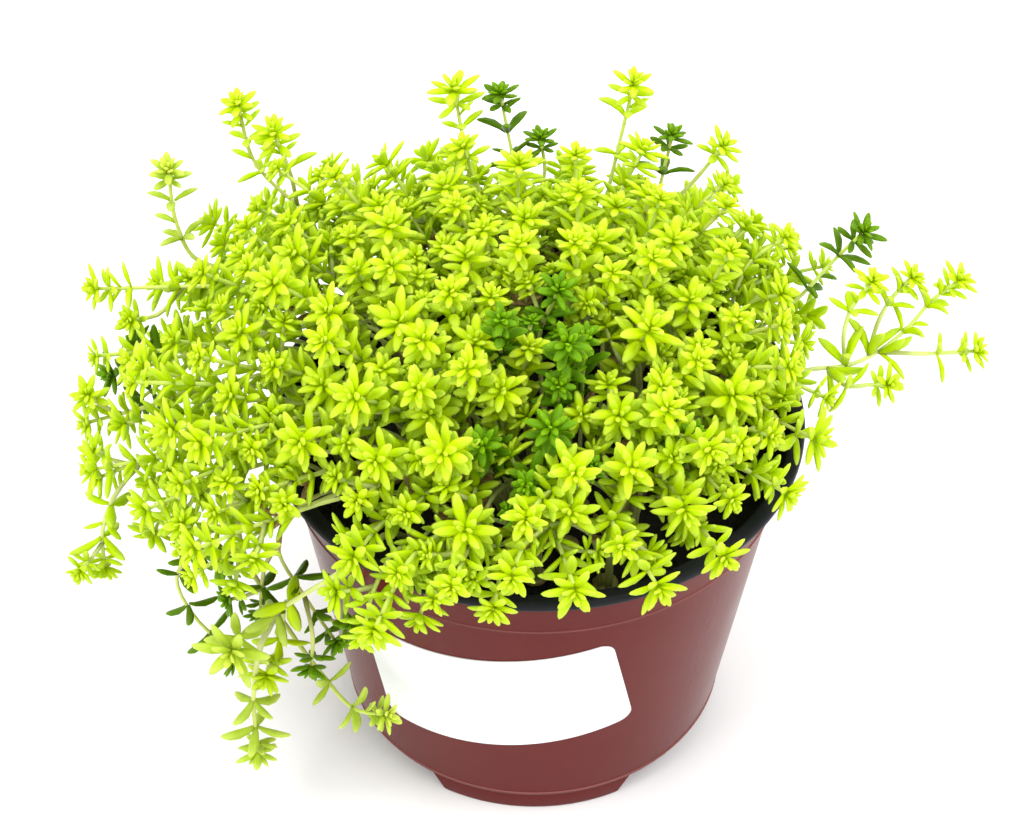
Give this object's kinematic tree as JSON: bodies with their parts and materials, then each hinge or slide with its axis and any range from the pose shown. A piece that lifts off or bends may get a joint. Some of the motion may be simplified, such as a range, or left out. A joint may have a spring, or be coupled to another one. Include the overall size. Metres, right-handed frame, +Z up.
{
  "type": "potted sedum",
  "caption": "Golden stonecrop in a round nursery pot: a loose mound of small star rosettes on thin stems, some trailing over the rim.",
  "frame": {"origin": "on the pot's axis, on the surface that the pot stands on; it is also the middle of the whole plant's footprint", "axes": "+Z up along the pot's axis, -Y towards the label (the front), +X to the right seen from the front, along the foliage's widest spread"},
  "size_m": [0.1927, 0.14, 0.1313],
  "materials": {
    "pot": "glossy brick-brown outside, black inside and on the rolled rim",
    "label": "smooth white adhesive paper, bare",
    "soil": "dark, rough, fibrous potting mix",
    "golden_leaves": "waxy, slightly translucent chartreuse leaves on pale stems",
    "pale_leaves": "waxy, slightly translucent pale yellow-green leaves on cream stems",
    "green_leaves": "waxy dark green leaves on pale green stems"
  },
  "bodies": {
    "root": {"golden_sprig_01": "golden_leaves", "golden_sprig_02": "golden_leaves", "golden_sprig_03": "golden_leaves", "golden_sprig_04": "golden_leaves", "golden_sprig_05": "golden_leaves", "golden_sprig_06": "golden_leaves", "golden_sprig_07": "golden_leaves", "golden_sprig_08": "golden_leaves", "golden_sprig_09": "golden_leaves", "golden_sprig_10": "golden_leaves", "golden_sprig_11": "golden_leaves", "golden_sprig_12": "golden_leaves", "golden_sprig_13": "golden_leaves", "golden_sprig_14": "golden_leaves", "golden_sprig_15": "golden_leaves", "golden_sprig_16": "golden_leaves", "golden_sprig_17": "golden_leaves", "golden_sprig_18": "golden_leaves", "golden_sprig_19": "golden_leaves", "golden_sprig_20": "golden_leaves", "golden_sprig_21": "golden_leaves", "golden_sprig_22": "golden_leaves", "golden_sprig_23": "golden_leaves", "golden_sprig_24": "golden_leaves", "golden_sprig_25": "golden_leaves", "golden_sprig_26": "golden_leaves", "golden_sprig_27": "golden_leaves", "golden_sprig_28": "golden_leaves", "golden_sprig_29": "golden_leaves", "golden_sprig_30": "golden_leaves", "golden_sprig_31": "golden_leaves", "golden_sprig_32": "golden_leaves", "golden_sprig_33": "golden_leaves", "golden_sprig_34": "golden_leaves", "golden_sprig_35": "golden_leaves", "golden_sprig_36": "golden_leaves", "green_sprig_back": "green_leaves", "green_sprig_back_right": "green_leaves", "green_sprig_left": "green_leaves", "green_sprig_right": "green_leaves", "label": "label", "left_spray_high": "golden_leaves", "left_spray_low": "golden_leaves", "pale_sprig_back_left": "pale_leaves", "pot": "pot", "reaching_sprig_left": "golden_leaves", "rim_sprig_front_left": "golden_leaves", "side_branch_right": "golden_leaves", "soil": "soil", "tall_sprig_back": "golden_leaves", "tall_sprigs_back_left": "golden_leaves", "tall_sprigs_back_right": "golden_leaves", "trailing_green_bunch": "green_leaves", "trailing_green_runner": "green_leaves", "trailing_pale_shoots": "pale_leaves", "trailing_stem_left": "pale_leaves"}
  },
  "joints": []
}
